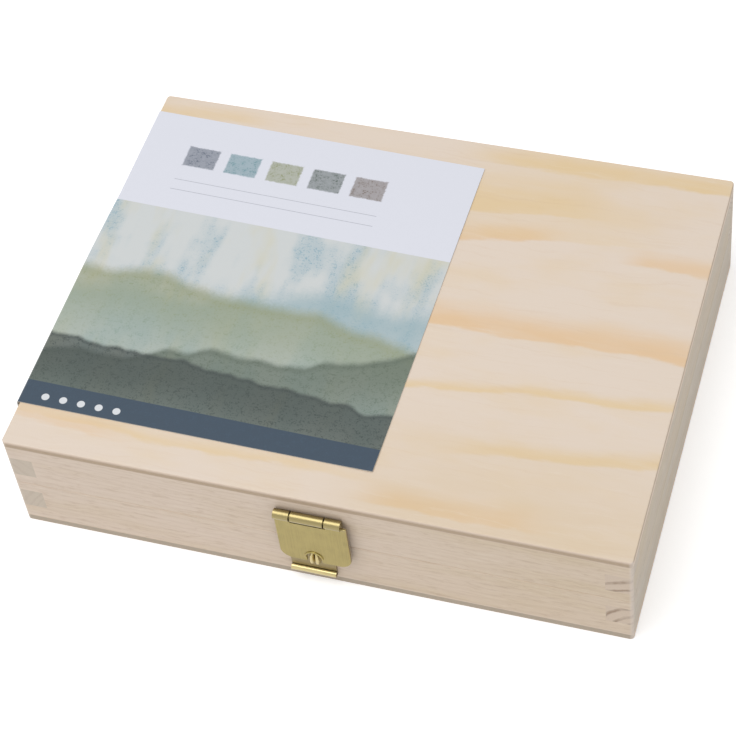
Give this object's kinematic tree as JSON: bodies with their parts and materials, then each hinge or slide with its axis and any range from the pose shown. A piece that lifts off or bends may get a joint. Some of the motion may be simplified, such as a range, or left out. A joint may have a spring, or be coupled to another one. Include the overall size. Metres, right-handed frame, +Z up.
{
  "type": "wooden watercolor paint box",
  "caption": "Flat hinged pine box for watercolour tubes, with finger-jointed sides, plywood panels, a brass flap latch and a printed card on the lid.",
  "frame": {"origin": "centre of the wooden base's underside, on the surface that the box rests on", "axes": "+X to the right along the front, +Y to the hinged back, +Z up through the lid"},
  "size_m": [0.2004, 0.1614, 0.0424],
  "materials": {
    "pine": "matte",
    "plywood": "matte",
    "brass": "satin",
    "card": "satin",
    "foam": "matte",
    "tube_foil": "satin",
    "paint": "satin",
    "cap_plastic": "satin",
    "seal": "matte"
  },
  "bodies": {
    "base": {"base_bottom_panel": "plywood", "base_front_board": "pine", "base_back_board": "pine", "base_left_board": "pine", "base_right_board": "pine", "catch_plate": "brass", "catch_nails": "brass", "hinge_base_leaf_left": "brass", "hinge_base_leaf_right": "brass", "hinge_pin_left": "brass", "hinge_pin_right": "brass", "hinge_base_screws": "brass", "tube_tray": "foam", "tube_body_1": "tube_foil", "tube_body_2": "tube_foil", "tube_body_3": "tube_foil", "tube_body_4": "tube_foil", "tube_body_5": "tube_foil", "tube_paint_1": "paint", "tube_paint_2": "paint", "tube_paint_3": "paint", "tube_paint_4": "paint", "tube_paint_5": "paint"},
    "lid": {"lid_top_panel": "plywood", "lid_front_board": "pine", "lid_back_board": "pine", "lid_left_board": "pine", "lid_right_board": "pine", "hasp_plate": "brass", "hasp_pin": "brass", "hasp_nails": "brass", "hinge_lid_leaf_left": "brass", "hinge_lid_leaf_right": "brass", "hinge_lid_screws": "brass", "label_card": "card"},
    "flap": {"hasp_flap": "brass"},
    "seal_1": {"cap_seal_1": "seal"},
    "cap_1": {"tube_cap_1": "cap_plastic"},
    "seal_2": {"cap_seal_2": "seal"},
    "cap_2": {"tube_cap_2": "cap_plastic"},
    "seal_3": {"cap_seal_3": "seal"},
    "cap_3": {"tube_cap_3": "cap_plastic"},
    "seal_4": {"cap_seal_4": "seal"},
    "cap_4": {"tube_cap_4": "cap_plastic"},
    "seal_5": {"cap_seal_5": "seal"},
    "cap_5": {"tube_cap_5": "cap_plastic"}
  },
  "joints": [
    {"name": "lid_hinge", "type": "hinge", "parent": "base", "child": "lid", "pos_m": [0, 0.0788, 0.021], "axis": [-1, 0, 0], "range_deg": [0, 105]},
    {"name": "latch_flap", "type": "hinge", "parent": "lid", "child": "flap", "pos_m": [0, -0.0788, 0.0344], "axis": [-1, 0, 0], "range_deg": [0, 180]},
    {"name": "cap_travel_1", "type": "slide", "parent": "base", "child": "seal_1", "axis": [0, -1, 0], "range_m": [0, 0.004]},
    {"name": "cap_turn_1", "type": "hinge", "parent": "seal_1", "child": "cap_1", "pos_m": [-0.07296, -0.047, 0.0133], "axis": [0, -1, 0], "range_deg": [0, 720.5]},
    {"name": "cap_travel_2", "type": "slide", "parent": "base", "child": "seal_2", "axis": [0, -1, 0], "range_m": [0, 0.004]},
    {"name": "cap_turn_2", "type": "hinge", "parent": "seal_2", "child": "cap_2", "pos_m": [-0.03648, -0.047, 0.0133], "axis": [0, -1, 0], "range_deg": [0, 720.5]},
    {"name": "cap_travel_3", "type": "slide", "parent": "base", "child": "seal_3", "axis": [0, -1, 0], "range_m": [0, 0.004]},
    {"name": "cap_turn_3", "type": "hinge", "parent": "seal_3", "child": "cap_3", "pos_m": [0, -0.047, 0.0133], "axis": [0, -1, 0], "range_deg": [0, 720.5]},
    {"name": "cap_travel_4", "type": "slide", "parent": "base", "child": "seal_4", "axis": [0, -1, 0], "range_m": [0, 0.004]},
    {"name": "cap_turn_4", "type": "hinge", "parent": "seal_4", "child": "cap_4", "pos_m": [0.03648, -0.047, 0.0133], "axis": [0, -1, 0], "range_deg": [0, 720.5]},
    {"name": "cap_travel_5", "type": "slide", "parent": "base", "child": "seal_5", "axis": [0, -1, 0], "range_m": [0, 0.004]},
    {"name": "cap_turn_5", "type": "hinge", "parent": "seal_5", "child": "cap_5", "pos_m": [0.07296, -0.047, 0.0133], "axis": [0, -1, 0], "range_deg": [0, 720.5]}
  ],
  "couplings": [
    {"joint": "cap_turn_1", "follows": "cap_travel_1", "rad_per_m": 3141.6},
    {"joint": "cap_turn_2", "follows": "cap_travel_2", "rad_per_m": 3141.6},
    {"joint": "cap_turn_3", "follows": "cap_travel_3", "rad_per_m": 3141.6},
    {"joint": "cap_turn_4", "follows": "cap_travel_4", "rad_per_m": 3141.6},
    {"joint": "cap_turn_5", "follows": "cap_travel_5", "rad_per_m": 3141.6}
  ]
}
